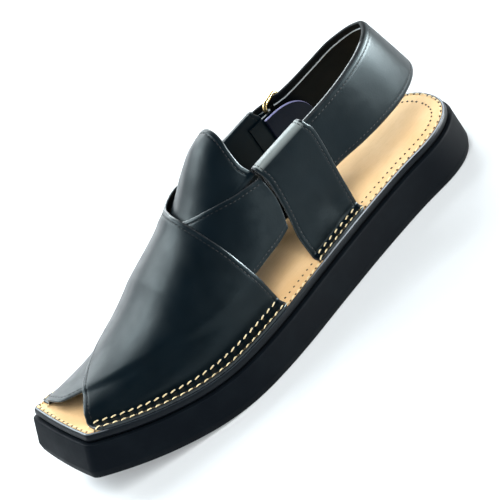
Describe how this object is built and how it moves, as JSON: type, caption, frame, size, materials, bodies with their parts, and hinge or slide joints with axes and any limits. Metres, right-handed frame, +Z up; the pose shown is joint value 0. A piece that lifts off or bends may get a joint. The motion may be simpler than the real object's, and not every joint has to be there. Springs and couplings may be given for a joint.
{
  "type": "peshawari chappal",
  "caption": "Open leather sandal with broad panels crossed over the instep, a domed tongue, a buckled heel strap on folded side tabs, a tan insole and a thick square-toed rubber sole.",
  "frame": {"origin": "on the floor, at the middle of the footprint of the whole shoe", "axes": "+X to the toe, +Y to the inner (medial) side of this right shoe, +Z up"},
  "size_m": [0.2894, 0.108, 0.1077],
  "materials": {
    "sole_rubber": "matte black moulded rubber",
    "band_rubber": "smooth black rubber with a soft gloss",
    "insole_leather": "matte tan leather",
    "upper_leather": "black semi-gloss leather",
    "buckle_brass": "polished brass"
  },
  "bodies": {
    "root": {"outsole": "sole_rubber", "midsole": "band_rubber", "insole": "insole_leather", "upper": "upper_leather", "tongue": "upper_leather", "tab_medial": "upper_leather", "tab_lateral": "upper_leather", "heel_strap": "upper_leather", "buckle_frame": "buckle_brass", "buckle_prong": "buckle_brass", "buckle_chape": "upper_leather", "buckle_guard": "upper_leather"}
  },
  "joints": []
}
